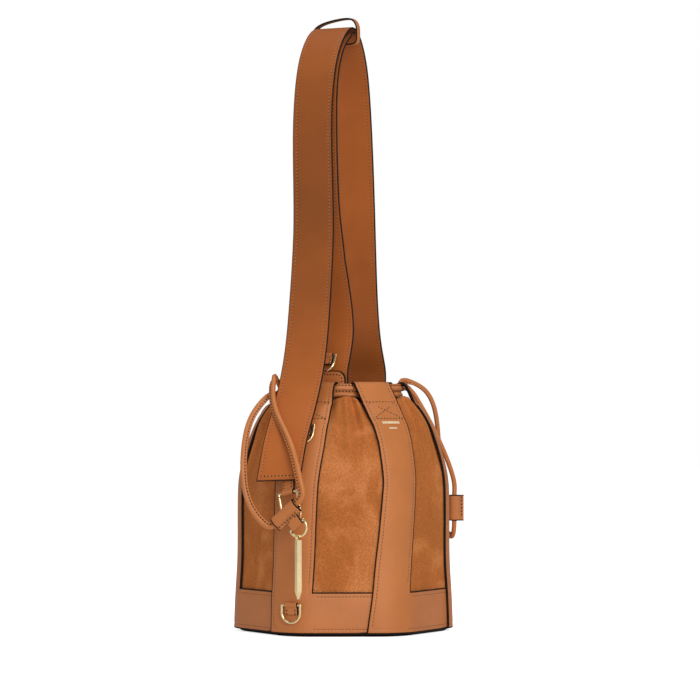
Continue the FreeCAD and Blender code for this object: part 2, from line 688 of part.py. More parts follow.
def build():
    leather_frame()
    suede_panels()
    lining()
    base()
    neck_cord("neck_cord_right", 0, "high_cord_z")
    neck_cord("neck_cord_left", 180, "low_cord_z")
    hanging_cord("cord_loop_left", LEFT_LOOP)
    hanging_cord("cord_loop_right", RIGHT_LOOP)
    cord_sleeve("cord_sleeve_left", LEFT_LOOP["sleeve"], left_sleeve_axes()[1])
    cord_sleeve("cord_sleeve_right", RIGHT_LOOP["sleeve"], Vector(0.5, -0.866, 0).normalize())
    straps()
    strap_keeper()
    side_rings()
    strap_ring()
    spring_clip()
    charm()
    doc.recompute()


def check():
    """Stops on any failed object, and on any sub-part that isn't one valid solid."""
    failed = [o.Name for o in doc.Objects if "Invalid" in o.State or "Error" in o.State]
    if failed:
        raise RuntimeError(f"failed objects: {failed}")
    for piece in SUBPARTS:
        shape = piece.Shape
        if shape.isNull() or not shape.isValid() or len(shape.Solids) != 1:
            raise RuntimeError(f"{piece.Label}: solids {len(shape.Solids)}, valid {shape.isValid()}")


def export():
    os.makedirs("parts", exist_ok=True)
    for piece in SUBPARTS:
        piece.Shape.exportStep(f"parts/{piece.Label}.step")
        box_of = piece.Shape.optimalBoundingBox(False)
        print(f"{piece.Label}: {piece.Shape.Volume:.0f} mm3, z {box_of.ZMin:.1f} to {box_of.ZMax:.1f}")


fill_sheet()
build()
check()
export()
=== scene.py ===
"""Looks for the drawstring bucket bag. Shapes are worked out in millimetres in the CAD frame."""
import json
import math

import bpy
import bmesh
import numpy as np
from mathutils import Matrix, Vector, noise


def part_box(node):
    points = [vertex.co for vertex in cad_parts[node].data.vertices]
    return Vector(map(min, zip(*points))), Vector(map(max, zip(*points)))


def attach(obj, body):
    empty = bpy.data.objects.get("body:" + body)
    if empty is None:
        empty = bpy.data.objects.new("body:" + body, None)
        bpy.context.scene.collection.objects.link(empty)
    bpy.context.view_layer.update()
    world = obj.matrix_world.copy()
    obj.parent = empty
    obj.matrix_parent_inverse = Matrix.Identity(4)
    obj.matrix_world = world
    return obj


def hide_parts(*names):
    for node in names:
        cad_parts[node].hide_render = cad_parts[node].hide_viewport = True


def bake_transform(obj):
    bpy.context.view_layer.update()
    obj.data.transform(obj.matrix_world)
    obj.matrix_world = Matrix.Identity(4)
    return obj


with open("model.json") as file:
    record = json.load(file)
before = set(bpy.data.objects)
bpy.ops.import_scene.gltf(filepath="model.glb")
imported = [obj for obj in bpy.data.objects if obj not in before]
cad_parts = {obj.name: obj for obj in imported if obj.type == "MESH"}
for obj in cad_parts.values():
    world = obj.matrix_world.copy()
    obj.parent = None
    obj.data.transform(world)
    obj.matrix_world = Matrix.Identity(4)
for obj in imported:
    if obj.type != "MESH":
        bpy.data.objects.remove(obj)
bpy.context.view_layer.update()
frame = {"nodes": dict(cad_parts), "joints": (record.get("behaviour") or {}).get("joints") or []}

MM = 0.001
# Six corners stand round the bag, numbered anticlockwise from +X. This is half the angle between two.
HALF_FACE = math.pi / 6
SIDE_CORNERS = (0, 3)
CAMERA_TURN = math.radians(-60.5)

# Wall of the bag from the bottom up: height, half width across flats, corner radius.
WALL = (
    (3.0, 92.4, 42.4), (20.0, 91.9, 42.0), (40.0, 91.0, 41.7), (65.0, 89.7, 41.0), (100.0, 89.6, 42.5),
    (135.0, 89.4, 45.0), (150.0, 88.2, 50.0), (165.0, 85.6, 55.8), (180.0, 82.2, 62.5), (192.0, 78.4, 66.5),
    (203.0, 72.6, 66.0), (212.0, 66.2, 62.0), (219.0, 61.0, 58.0),
)
LEATHER = 2.0
SUEDE_THICK = 1.2
SIDE_STRIP_WIDTH, STRIP_WIDTH = 43.0, 36.6
STRAP_HALF, STRAP_THICK = 20.0, 2.4
# How far the strips' outer faces stand out from the wall, and the height where they leave it for their loops.
STRIP_LIFT = 1.1
LOOP_FOOT = 207.5
# Bottom edge of the leather and top edge of the base band.
HEM, BAND_TOP = 3.4, 39.5
STITCH_INSET = 3.5
STITCH_PITCH = 3.1
STITCH_SIDES = 6

STRIPS = {
    "side_strip_right": 0, "back_strip_right": 1, "back_strip_left": 2,
    "side_strip_left": 3, "front_strip_left": 4, "front_strip_right": 5,
}
PANELS = {
    "panel_back_right": 0, "panel_back": 1, "panel_back_left": 2,
    "panel_front_left": 3, "panel_front": 4, "panel_front_right": 5,
}

# How far a strip wanders sideways from its corner on the way up: height, distance.
FRONT_DRIFT = (
    (3, -12.0), (37, -6.5), (90, 0.0), (140, 4.8), (175, 4.7), (190, 3.0), (200, 0.6), (212, 0.0),
    (225, -3.0),
)
SIDE_DRIFT = (
    (37, 0.0), (90, 2.0), (133, 3.8), (170, 6.0), (197, 5.5), (212, 3.0), (228, 1.0),
)
DRIFT = {0: SIDE_DRIFT, 1: FRONT_DRIFT, 3: SIDE_DRIFT, 4: FRONT_DRIFT}


def strip_width(corner):
    return SIDE_STRIP_WIDTH if corner in SIDE_CORNERS else STRIP_WIDTH


# Curves


def spline(points, step):
    """Points about one step apart on a natural cubic curve through the given points."""
    p = np.array(points, float)
    gaps = np.sqrt(np.linalg.norm(np.diff(p, axis=0), axis=1))
    t = np.concatenate([[0], np.cumsum(gaps)])
    n = len(p)
    a = np.zeros((n, n))
    b = np.zeros((n, p.shape[1]))
    a[0, 0] = a[-1, -1] = 1.0
    h = np.diff(t)
    for i in range(1, n - 1):
        a[i, i - 1:i + 2] = h[i - 1], 2 * (h[i - 1] + h[i]), h[i]
        b[i] = 6 * ((p[i + 1] - p[i]) / h[i] - (p[i] - p[i - 1]) / h[i - 1])
    m = np.linalg.solve(a, b)
    fine = np.linspace(0, t[-1], 60 * n)
    k = np.clip(np.searchsorted(t, fine, side="right") - 1, 0, n - 2)
    u = (fine - t[k])[:, None]
    v = (t[k + 1] - fine)[:, None]
    g = h[k][:, None]
    curve = (m[k] * v**3 + m[k + 1] * u**3) / (6 * g)
    curve += (p[k] / g - m[k] * g / 6) * v + (p[k + 1] / g - m[k + 1] * g / 6) * u
    return resample(curve, step)


def run_of(points):
    """Distance along a line at each of its points."""
    return np.concatenate([[0], np.cumsum(np.linalg.norm(np.diff(points, axis=0), axis=1))])


def at_run(at, run, points):
    """The point, or points, of a line at given distances along it."""
    return np.stack([np.interp(at, run, column) for column in points.T], axis=-1)


def resample(points, step):
    """The same line with its points evenly spaced."""
    run = run_of(points)
    count = max(2, int(round(run[-1] / step)) + 1)
    return at_run(np.linspace(0, run[-1], count), run, points)


def unit(v):
    v = np.array(v, float)
    return v / np.maximum(np.linalg.norm(v, axis=-1, keepdims=True), 1e-9)


def headings(path, closed=False):
    """Unit tangents of a line."""
    if closed:
        return unit(np.roll(path, -1, axis=0) - np.roll(path, 1, axis=0))
    return unit(np.gradient(path, axis=0))


WALL_FINE = spline(WALL, 3.0)


def wall_size(z):
    """Half width across flats and corner radius of the wall at a height."""
    return tuple(float(np.interp(z, WALL_FINE[:, 0], WALL_FINE[:, column])) for column in (1, 2))


def corner_axes(corner):
    """Unit vectors outwards at a corner and along the wall to its left, seen from outside."""
    facing = corner * math.pi / 3
    radial = np.array([math.cos(facing), math.sin(facing), 0.0])
    return radial, np.array([-radial[1], radial[0], 0.0])


def drift(corner, z):
    """Sideways wander of a corner's strip at a height."""
    if corner not in DRIFT:
        return 0.0
    heights, shifts = zip(*DRIFT[corner])
    return float(np.interp(z, heights, shifts))


def wall_point(corner, s, z, out):
    """A point on the wall at distance s round the bag from a corner's middle, and its outward normal.

    The point belongs to this corner's half of the face; face_point() also reaches the other half.
    """
    half, radius = wall_size(z)
    facing = corner * math.pi / 3
    turn = max(-HALF_FACE, min(HALF_FACE, s / radius))
    rest = s - turn * radius
    normal = np.array([math.cos(facing + turn), math.sin(facing + turn), 0.0])
    along = np.array([-normal[1], normal[0], 0.0])
    centre = (half - radius) / math.cos(HALF_FACE)
    middle = corner_axes(corner)[0] * centre
    point = middle + normal * (radius + out) + along * rest
    point[2] = z
    return point, normal


def side_length(z):
    """Distance round the bag from one corner's middle to the next."""
    half, radius = wall_size(z)
    return 2 * (radius * HALF_FACE + (half - radius) * math.tan(HALF_FACE))


def face_point(corner, s, z, out):
    """Like wall_point(), for any s up to the next corner's middle."""
    length = side_length(z)
    if s <= length / 2:
        return wall_point(corner, s, z, out)
    return wall_point((corner + 1) % 6, s - length, z, out)


def face_span(corner, z, first_lap, last_lap):
    """Where a piece between two strips starts and ends, when it laps under them by the given distances."""
    following = (corner + 1) % 6
    start = strip_width(corner) / 2 - first_lap + drift(corner, z)
    end = side_length(z) - strip_width(following) / 2 + last_lap + drift(following, z)
    return start, end


# Meshes


class Pile:
    """Vertices, faces and material numbers gathered for one mesh."""

    def __init__(self):
        self.verts, self.faces, self.slots = [], [], []

    def add(self, verts, faces, slot=0):
        base = len(self.verts)
        self.verts.extend([tuple(v) for v in verts])
        self.faces.extend([tuple(base + i for i in face) for face in faces])
        self.slots.extend(slot if isinstance(slot, list) else [slot] * len(faces))

    def grid(self, rows, slot=0, closed_columns=False):
        """Quads over a rectangular grid of points, given as rows."""
        g = np.array(rows, float)
        count, size = g.shape[:2]
        faces = []
        for r in range(0, (count - 1) * size, size):
            for c in range(size if closed_columns else size - 1):
                c2 = (c + 1) % size
                faces.append((r + c, r + c2, r + size + c2, r + size + c))
        self.add(g.reshape(-1, 3), faces, slot)

    def build(self, name, materials):
        mesh = bpy.data.meshes.new(name)
        mesh.from_pydata([tuple(np.array(v) * MM) for v in self.verts], [], self.faces)
        for material in materials:
            mesh.materials.append(material)
        mesh.polygons.foreach_set("material_index", self.slots)
        mesh.polygons.foreach_set("use_smooth", [True] * len(self.faces))
        mesh.update()
        thing = bpy.data.objects.new(name, mesh)
        bpy.context.scene.collection.objects.link(thing)
        return thing


def tidy_normals(thing):
    """Joins points that coincide and makes every face look outwards."""
    mesh = bmesh.new()
    mesh.from_mesh(thing.data)
    bmesh.ops.remove_doubles(mesh, verts=mesh.verts, dist=0.00001)
    bmesh.ops.recalc_face_normals(mesh, faces=mesh.faces)
    mesh.to_mesh(thing.data)
    mesh.free()


def tube(pile, rows, slots, closed=False, caps=True):
    """Skins rings of points, with one material number for each side of a ring. Caps take the first."""
    rings, count = len(rows), len(slots)
    faces = []
    for r in range(rings if closed else rings - 1):
        for c in range(count):
            r2, c2 = (r + 1) % rings, (c + 1) % count
            faces.append((r * count + c, r * count + c2, r2 * count + c2, r2 * count + c))
    face_slots = slots * (rings if closed else rings - 1)
    if caps:
        faces += [tuple(range(count))[::-1], tuple((rings - 1) * count + c for c in range(count))]
        face_slots = face_slots + [slots[0]] * 2
    pile.add([point for row in rows for point in row], faces, face_slots)


def sweep(pile, path, across, normal, section, slots, closed=False, caps=True):
    """Carries a closed section of (across, out) points along a path.

    across and normal are one vector each, or one for each point of the path. slots is one material number,
    or a list with one for each side of the section.
    """
    across, normal = np.broadcast_to(across, np.shape(path)), np.broadcast_to(normal, np.shape(path))
    if not isinstance(slots, list):
        slots = [slots] * len(section)
    rows = [[path[i] + across[i] * a + normal[i] * h for a, h in section] for i in range(len(path))]
    tube(pile, rows, slots, closed, caps and not closed)


def turns(count):
    """Angles of evenly spaced points round a circle."""
    return [2 * math.pi * i / count for i in range(count)]


def stitches(pile, path, normals, pitch=STITCH_PITCH, length=2.0, radius=0.4):
    """A row of thread stitches along a line on a surface, with a dark disc between each pair that paints the
    shade in the needle hole.

    normals is one vector, or one for each point of the line.
    """
    path = np.array(path)
    normals = np.broadcast_to(normals, path.shape)
    run = run_of(path)
    count = max(1, int(run[-1] / pitch))
    gap = run[-1] / count
    sides = STITCH_SIDES
    for i in range(count):
        middle = (i + 0.5) * gap
        at = [middle - length / 2, middle - length * 0.3, middle + length * 0.3, middle + length / 2]
        spots = at_run(at, run, path)
        up = unit(at_run(middle, run, normals))
        ahead = unit(spots[3] - spots[0])
        side = unit(np.cross(up, ahead))
        rings = []
        for spot, thick, high in zip(spots, (0.35, 1.0, 1.0, 0.35), (-0.55, 0.0, 0.0, -0.55)):
            centre = spot + up * (radius * high - 0.08)
            rings.append([centre + (side * math.cos(t) + up * math.sin(t)) * radius * thick
                          for t in turns(sides)])
        tube(pile, rings, [SEAM] * sides)
        # a flat dark disc on the surface: painted shade inside the needle hole
        hole = at_run((i + 1) * gap, run, path) + up * 0.05
        ring = [hole + (ahead * math.cos(t) * 0.85 + side * math.sin(t) * 0.7) for t in turns(sides)]
        pile.add(ring, [tuple(range(sides))], PRICK)


def emboss(d):
    """Height of the leather's face at distance d in from its edge: a rounded edge and a stitch groove."""
    edge = -0.45 * max(0.0, 1 - d / 1.4) ** 2
    groove = -0.26 * math.exp(-(((d - STITCH_INSET) / 0.7) ** 2))
    return edge + groove


# Materials


def set_inputs(tree, node, inputs):
    """Sets a node's inputs, each to a value or to the output that feeds it."""
    for name, value in inputs.items():
        if isinstance(value, bpy.types.NodeSocket):
            tree.links.new(value, node.inputs[name])
        else:
            node.inputs[name].default_value = value


def add_node(tree, kind, inputs, **settings):
    node = tree.nodes.new(f"ShaderNode{kind}")
    for name, value in settings.items():
        setattr(node, name, value)
    set_inputs(tree, node, inputs)
    return node


def new_material(name):
    """A new material, its node tree and the object's own coordinates in it."""
    material = bpy.data.materials.new(name)
    material.use_nodes = True
    tree = material.node_tree
    return material, tree, add_node(tree, "TexCoord", {}).outputs["Object"]


def surface(tree, inputs):
    set_inputs(tree, tree.nodes["Principled BSDF"], inputs)


def cloud(tree, coords, scale, detail=4.0, rough=0.55):
    """Cloudy noise from 0 to 1."""
    settings = {"Vector": coords, "Scale": scale, "Detail": detail, "Roughness": rough}
    return add_node(tree, "TexNoise", settings).outputs["Fac"]


def ramp(tree, value, stops):
    """A colour for each value, between (value, colour) stops."""
    node = add_node(tree, "ValToRGB", {"Fac": value})
    elements = node.color_ramp.elements
    elements[0].position, elements[1].position = stops[0][0], stops[-1][0]
    elements[0].color, elements[1].color = (*stops[0][1], 1), (*stops[-1][1], 1)
    for place, color in stops[1:-1]:
        elements.new(place).color = (*color, 1)
    return node.outputs["Color"]


def bump(tree, height, strength, distance, under=None):
    """A bumpy normal, on top of another one if it is given."""
    node = add_node(tree, "Bump", {"Strength": strength, "Distance": distance, "Height": height})
    if under is not None:
        tree.links.new(under, node.inputs["Normal"])
    return node.outputs["Normal"]


def shade(color, factor):
    return tuple(min(1.0, c * factor) for c in color)


def leather(name, color, roughness=0.46, variation=0.08, grain=0.25, gloss=0.38, has_painted_light_and_shade=False):
    """Smooth calf leather: fine pebbled grain, soft colour drift and a low, slightly uneven polish.

    When set, the colour is scaled by a value stored on each of the mesh's points. This is painted shade and
    painted highlight along a strap: darker where it turns away from the light, lighter on its far leg and
    tail where the light falls on it.
    """
    material, tree, coords = new_material(name)
    shades = (0.3, shade(color, 1 - variation)), (0.7, shade(color, 1 + variation))
    tint = ramp(tree, cloud(tree, coords, 22.0, 3.0), shades)
    # painted light and shade: the colour is scaled by each point's stored value
    if has_painted_light_and_shade:
        painted_light_and_shade = add_node(tree, "Attribute", {}, attribute_name="painted_light_and_shade").outputs["Fac"]
        tint = add_node(tree, "VectorMath", {0: tint, "Scale": painted_light_and_shade}, operation="SCALE").outputs["Vector"]
    polish = add_node(tree, "MapRange", {
        "Value": cloud(tree, coords, 60.0, 2.0), "To Min": roughness - 0.06, "To Max": roughness + 0.08})
    cells = add_node(tree, "TexVoronoi", {"Vector": coords, "Scale": 1500.0})
    pebble = bump(tree, cells.outputs["Distance"], grain, 0.0002)
    surface(tree, {"Base Color": tint, "Roughness": polish.outputs["Result"], "Specular IOR Level": gloss,
                   "Normal": bump(tree, cloud(tree, coords, 120.0, 3.0), 0.12, 0.0006, pebble)})
    return material


def suede(name, color):
    """Brushed suede: nap brushed in drifting patches, short fuzz and a pale sheen at grazing angles."""
    material, tree, coords = new_material(name)
    stretched = add_node(tree, "Mapping", {"Vector": coords, "Scale": (1.0, 1.0, 0.7)}).outputs["Vector"]
    brushed = add_node(tree, "TexNoise", {
        "Vector": stretched, "Scale": 24.0, "Detail": 5.0, "Distortion": 1.2})
    fine = cloud(tree, coords, 680.0, 4.0, 0.7)
    pale = tuple(1.16 * c + lift for c, lift in zip(color, (0.06, 0.05, 0.03)))
    patches = ramp(tree, brushed.outputs["Fac"], ((0.36, shade(color, 0.88)), (0.5, color), (0.66, pale)))
    speckle = ramp(tree, fine, ((0.36, (0.68, 0.66, 0.62)), (0.64, (1.0, 1.0, 1.0))))
    nap = add_node(tree, "VectorMath", {0: patches, 1: speckle}, operation="MULTIPLY")
    fuzz = bump(tree, cloud(tree, coords, 1400.0, 4.0, 0.8), 0.55, 0.0005)
    surface(tree, {"Base Color": nap.outputs["Vector"], "Roughness": 0.95, "Specular IOR Level": 0.08,
                   "Sheen Weight": 0.35, "Sheen Roughness": 0.5, "Sheen Tint": (*shade(color, 2.0), 1),
                   "Normal": bump(tree, fine, 0.3, 0.001, fuzz)})
    return material


def plain(name, color, roughness, metallic=0.0, specular=0.4, wobble=0.0, scale=400.0):
    """One colour with a slight unevenness; wobble is the strength of its fine bumps."""
    material, tree, coords = new_material(name)
    tint = ramp(tree, cloud(tree, coords, 90.0, 3.0), ((0.3, shade(color, 0.9)), (0.7, shade(color, 1.08))))
    surface(tree, {"Base Color": tint, "Roughness": roughness, "Metallic": metallic,
                   "Specular IOR Level": specular})
    if wobble:
        surface(tree, {"Normal": bump(tree, cloud(tree, coords, scale), wobble, 0.0003)})
    return material


def woven(name, color):
    """Plain-weave lining cloth."""
    material, tree, coords = new_material(name)
    threads = [add_node(tree, "TexWave", {"Vector": coords, "Scale": 500.0, "Distortion": 0.4},
                        bands_direction=axis).outputs["Fac"] for axis in ("X", "Z")]
    weave = add_node(tree, "Math", dict(enumerate(threads)), operation="MULTIPLY").outputs[0]
    surface(tree, {"Base Color": ramp(tree, weave, ((0.0, shade(color, 0.7)), (1.0, color))),
                   "Roughness": 0.9, "Normal": bump(tree, weave, 0.5, 0.0004)})
    return material


TAN = (0.53, 0.175, 0.046)
LEATHER_FACE = leather("leather_face", TAN)
# The strap's leather is a darker copy of the bag's tan: painted shade for the strap, whose faces turn away
# from the key light. It also has less gloss.
SHADED_STRAP_LEATHER = leather("strap_leather_painted_shade", (0.365, 0.098, 0.018), gloss=0.26, has_painted_light_and_shade=True)
LEATHER_CORD = leather("leather_cord", shade(TAN, 1.05), roughness=0.4)
SUEDE = suede("suede_nap", (0.57, 0.178, 0.046))
SUEDE_BACK = plain("leather_flesh_side", (0.3, 0.13, 0.05), 0.9, wobble=0.4)
PAINT = plain("painted_edge", (0.014, 0.008, 0.006), 0.62, specular=0.15, wobble=0.15)
THREAD = plain("thread", (0.5, 0.2, 0.07), 0.7, wobble=0.3, scale=3000.0)
# Near-black discs at the needle holes: painted shade inside each hole.
HOLE_SHADE = plain("needle_hole_shade", (0.03, 0.01, 0.005), 0.9)
GOLD = plain("pale_gold", (1.0, 0.76, 0.42), 0.16, metallic=1.0, specular=0.5, wobble=0.03)
GOLD_FOIL = plain("gold_foil", (0.82, 0.62, 0.38), 0.45, metallic=0.25)
LINING = woven("lining_weave", (0.3, 0.17, 0.09))
BOARD = plain("stiffener_board", (0.07, 0.06, 0.05), 0.8, wobble=0.3)
# Materials of a leather piece, and their numbers in its mesh.
PARTS = [LEATHER_FACE, PAINT, SUEDE_BACK, THREAD, HOLE_SHADE, GOLD_FOIL]
FACE, EDGE, BACK, SEAM, PRICK, FOIL = range(6)


def finish_piece(pile, name, body, nodes, materials=None, clean=True):
    """Makes the mesh and hands it to the body it moves with, in place of the CAD nodes it shows."""
    thing = pile.build(name, materials or PARTS)
    if clean:
        tidy_normals(thing)
    if body:
        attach(thing, body)
    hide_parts(*nodes)
    return thing


def bead(pile, path, outward, normal, half_thick=LEATHER / 2 + 0.1, reach=0.75, closed=False):
    """Burnished, painted edge: a half-round that wraps a little way onto both faces."""
    section = [(reach * math.cos(t), half_thick * math.sin(t)) for t in turns(12)]
    sweep(pile, path, outward, normal, section, EDGE, closed=closed)


# Leather corner strips, each with its belt loop and the band section on its right

# Mid-line of the outer face over the cords, for front and back strips: distance from the axis, height.
LOOP_TOP = (
    (67.6, 209.5), (65.0, 213.8), (62.3, 218.2), (59.9, 222.6), (57.8, 226.2), (55.4, 228.6), (52.6, 229.4),
    (49.9, 228.6), (48.0, 226.2), (47.0, 222.6), (46.7, 214.6),
)
# Anchor tabs stand behind the side strips' loops, between them and the strap: faces' distances from the axis,
# sideways middle, half width, bottom, top and corner radius.
TAB_FRONT, TAB_BACK = 47.8, 46.0
TAB_MIDDLE, TAB_HALF = 7.5, 20.8
TAB_LOW, TAB_HIGH, TAB_CORNER = 214.0, 239.0, 8.0

# Distances in from an edge at which the leather has a row of points, and the rows' heights over the band.
NEAR_EDGE = (0, 0.6, 1.6, 2.8, 3.5, 4.2, 5.6)
BAND_HEIGHTS = ([HEM + d for d in NEAR_EDGE] + list(np.linspace(12, 31, 6))
                + [BAND_TOP - d for d in reversed(NEAR_EDGE)])


def strip_rows(corner):
    """A strip's rows of points: distance from the axis (None on the wall), height and flatness."""
    heights = BAND_HEIGHTS + list(np.arange(BAND_TOP + 3, LOOP_FOOT - 0.5, 4.0)) + [LOOP_FOOT]
    rows = [(None, z, 0.0) for z in heights]
    # a side strip's loop ends against its anchor tab
    top = spline(LOOP_TOP[:9] if corner in SIDE_CORNERS else LOOP_TOP, 1.5)
    for i, (out, z) in enumerate(top):
        rows.append((out, z, min(1.0, 0.2 + 0.8 * i / 8)))
    return rows


def strip_point(corner, s, row, lift):
    """A point and normal on the strip's outer face."""
    out, z, flat = row
    s += drift(corner, z)
    if out is None:
        return wall_point(corner, s, z, lift)
    radius = 63.0
    radial, along = corner_axes(corner)
    sag = radius * (1 - math.cos(s / radius)) * (1 - flat)
    blend = max(0.0, 1 - flat * 1.3)
    point = radial * (out + lift * (0.4 + 0.6 * blend) - sag) + along * s
    point[2] = z
    return point, radial


def row_normals(points):
    """Normals of a grid of points, with its rows going up and its columns to the left seen from outside."""
    return unit(np.cross(np.gradient(points, axis=1), np.gradient(points, axis=0)))


def columns(width):
    """Distances from the left edge of a strip, close together at the edges and the stitch lines."""
    edge = [0.0, 0.5, 1.2, 2.2, 2.9, 3.5, 4.1, 5.0]
    middle = list(np.linspace(7.5, width - 7.5, 7))
    return edge + middle + [width - d for d in reversed(edge)]


def box_stitch(pile, place, half, low, high):
    """Two lines of stitching with a cross between them, over the foot of a belt loop."""
    corners = [(-half, low), (half, low), (half, high), (-half, high)]
    lines = [(corners[i], corners[(i + 1) % 4]) for i in (0, 2)]
    lines += [(corners[0], corners[2]), (corners[3], corners[1])]
    for (s0, z0), (s1, z1) in lines:
        spots = [place(s0 + (s1 - s0) * t, z0 + (z1 - z0) * t) for t in np.linspace(0, 1, 16)]
        stitches(pile, [point for point, _ in spots], [normal for _, normal in spots])


def build_strip(name, corner):
    """An L-shaped piece: the strip, its belt loop and the band section on its right."""
    width = strip_width(corner)
    half = width / 2
    rows = strip_rows(corner)
    pile = Pile()
    offsets = columns(width)
    base = np.array([[strip_point(corner, half - d, row, STRIP_LIFT)[0] for d in reversed(offsets)]
                     for row in rows])
    normals = row_normals(base)
    outer = base.copy()
    for r, (out, z, _) in enumerate(rows):
        for c, d in enumerate(reversed(offsets)):
            inset = min(width - d, d if z > BAND_TOP else max(d, BAND_TOP - z + 0.8))
            if out is None:
                inset = min(inset, z - HEM)
            outer[r, c] += normals[r, c] * emboss(inset)
    inner = base - normals * LEATHER
    pile.grid(outer, FACE)
    pile.grid(inner[:, ::-1], BACK)
    # column 0 is the edge that overlaps the neighbour's band; the last column meets this piece's own band
    band_row = next(i for i, row in enumerate(rows) if row[1] >= BAND_TOP - 0.01)
    middle = (base + inner) / 2
    bead(pile, middle[:, 0], unit(base[:, 0] - base[:, 1]), normals[:, 0])
    free_side = unit(base[band_row:, -1] - base[band_row:, -2])
    bead(pile, middle[band_row:, -1], free_side, normals[band_row:, -1])
    bead(pile, middle[-1], unit(base[-1] - base[-2]), normals[-1])
    bead(pile, middle[0], unit(base[0] - base[1]), normals[0])

    # columns() puts its sixth column from each edge on the stitch line
    stop = len(rows) - (5 if corner in SIDE_CORNERS else 12)
    for column, start in ((5, 5), (len(offsets) - 6, band_row + 2)):
        stitches(pile, outer[start:stop, column], normals[start:stop, column])

    rising = [row for row in rows if row[0] is not None][:12]

    def place(s, z):
        if z <= LOOP_FOOT:
            return strip_point(corner, s, (None, z, 0.0), STRIP_LIFT)
        out = float(np.interp(z, [row[1] for row in rising], [row[0] for row in rising]))
        return strip_point(corner, s, (out, z, 0.3), STRIP_LIFT)

    box_stitch(pile, place, half - STITCH_INSET, 196.0, 211.0)
    if corner in SIDE_CORNERS:
        build_anchor_tab(pile, corner)
    build_band(pile, corner)
    if name == "front_strip_left":
        foil_bars(pile, corner)
    finish_piece(pile, f"look_{name}", "bag", [name])


def build_anchor_tab(pile, corner):
    """The rounded tab that carries the strap's foot."""
    radial, along = corner_axes(corner)

    def spot(out, s, z):
        return radial * out + along * (TAB_MIDDLE + s) + np.array([0.0, 0.0, z])

    straight = 6
    heights = list(np.linspace(TAB_LOW, TAB_HIGH - TAB_CORNER, straight))
    halves = [TAB_HALF] * straight
    for t in np.linspace(0.15, 1.0, 9) * math.pi / 2:
        heights.append(TAB_HIGH - TAB_CORNER * (1 - math.sin(t)))
        halves.append(TAB_HALF - TAB_CORNER * (1 - math.cos(t)))
    across = np.linspace(-1, 1, 13)
    pile.grid([[spot(TAB_FRONT, half * a, z) for a in across] for z, half in zip(heights, halves)], FACE)
    pile.grid([[spot(TAB_BACK, -half * a, z) for a in across] for z, half in zip(heights, halves)], BACK)

    def outline(inset):
        """The tab's two sides and rounded top, drawn in by inset."""
        side = [(half - inset, z) for half, z in zip(halves[:straight], heights[:straight])]
        bend = [(TAB_HALF - TAB_CORNER + (TAB_CORNER - inset) * math.cos(t),
                 TAB_HIGH - TAB_CORNER + (TAB_CORNER - inset) * math.sin(t))
                for t in np.linspace(0, math.pi / 2, 9)]
        half_line = side + bend[1:]
        return half_line + [(-s, z) for s, z in reversed(half_line)]

    rim = np.array([spot((TAB_FRONT + TAB_BACK) / 2, s, z) for s, z in outline(0.0)])
    middle = spot((TAB_FRONT + TAB_BACK) / 2, 0, (TAB_LOW + TAB_HIGH) / 2)
    bead(pile, rim, unit(rim - middle), radial)
    stitches(pile, [spot(TAB_FRONT, s, z) for s, z in outline(3.0)], radial)


def build_band(pile, corner):
    """The band section of a strip's piece, from its own strip to under the next one's edge."""
    shares = np.linspace(0, 1, 26)
    grid = []
    for z in BAND_HEIGHTS:
        start, end = face_span(corner, z, 0.0, 2.0)
        grid.append([face_point(corner, start + (end - start) * share, z,
                                STRIP_LIFT - (STRIP_LIFT + 1.1) * share**2) for share in shares])
    grid = np.array(grid)
    base, normals = grid[:, :, 0], grid[:, :, 1]
    outer = base.copy()
    for r, z in enumerate(BAND_HEIGHTS):
        outer[r] += normals[r] * emboss(min(z - HEM, BAND_TOP - z))
    inner = base - normals * LEATHER
    middle = (base + inner) / 2
    pile.grid(outer, FACE)
    pile.grid(inner[:, ::-1], BACK)
    bead(pile, middle[-1], (0, 0, 1), normals[-1])
    bead(pile, middle[0], (0, 0, -1), normals[0])
    stitches(pile, outer[-5, 1:], normals[-5, 1:])
    stitches(pile, outer[4], normals[4])


def foil_bars(pile, corner):
    """Two plain bars of gold foil, one below the other."""
    for z, half_long, half_high in ((192.6, 9.0, 1.1), (187.6, 4.2, 0.7)):
        rows = []
        for dz in (-half_high, half_high):
            rows.append([strip_point(corner, s, (None, z + dz, 0.0), STRIP_LIFT + 0.28)[0]
                         for s in np.linspace(-half_long, half_long, 9)])
        pile.grid(rows, FOIL)


# Suede panels


def panel_relief(corner, share, z):
    """How far the suede stands out: a gentle belly between the strips, and gathers below the mouth."""
    inside = math.sin(math.pi * share)
    puff = 1.5 * inside * min(1.0, (z - 30) / 60)
    gather = np.interp(z, (130, 175, 203, 214), (0.0, 1.5, 3.9, 4.2))
    wave = math.sin(2 * math.pi * (2.15 * share + 0.37 * corner) + 0.01 * z)
    wave += 0.5 * math.sin(2 * math.pi * (3.7 * share - 0.21 * corner) + 0.6)
    dent = noise.noise(Vector((share * 2.2 + corner * 3.1, z * 0.016, 0.3 * corner)))
    tuck = np.interp(z, (150, 195, 214), (0.0, 2.0, 3.4)) * (
        math.exp(-((share - 0.06) / 0.07) ** 2) + math.exp(-((share - 0.94) / 0.07) ** 2))
    return puff + gather * wave * inside ** 0.5 + 1.3 * dent * inside - tuck


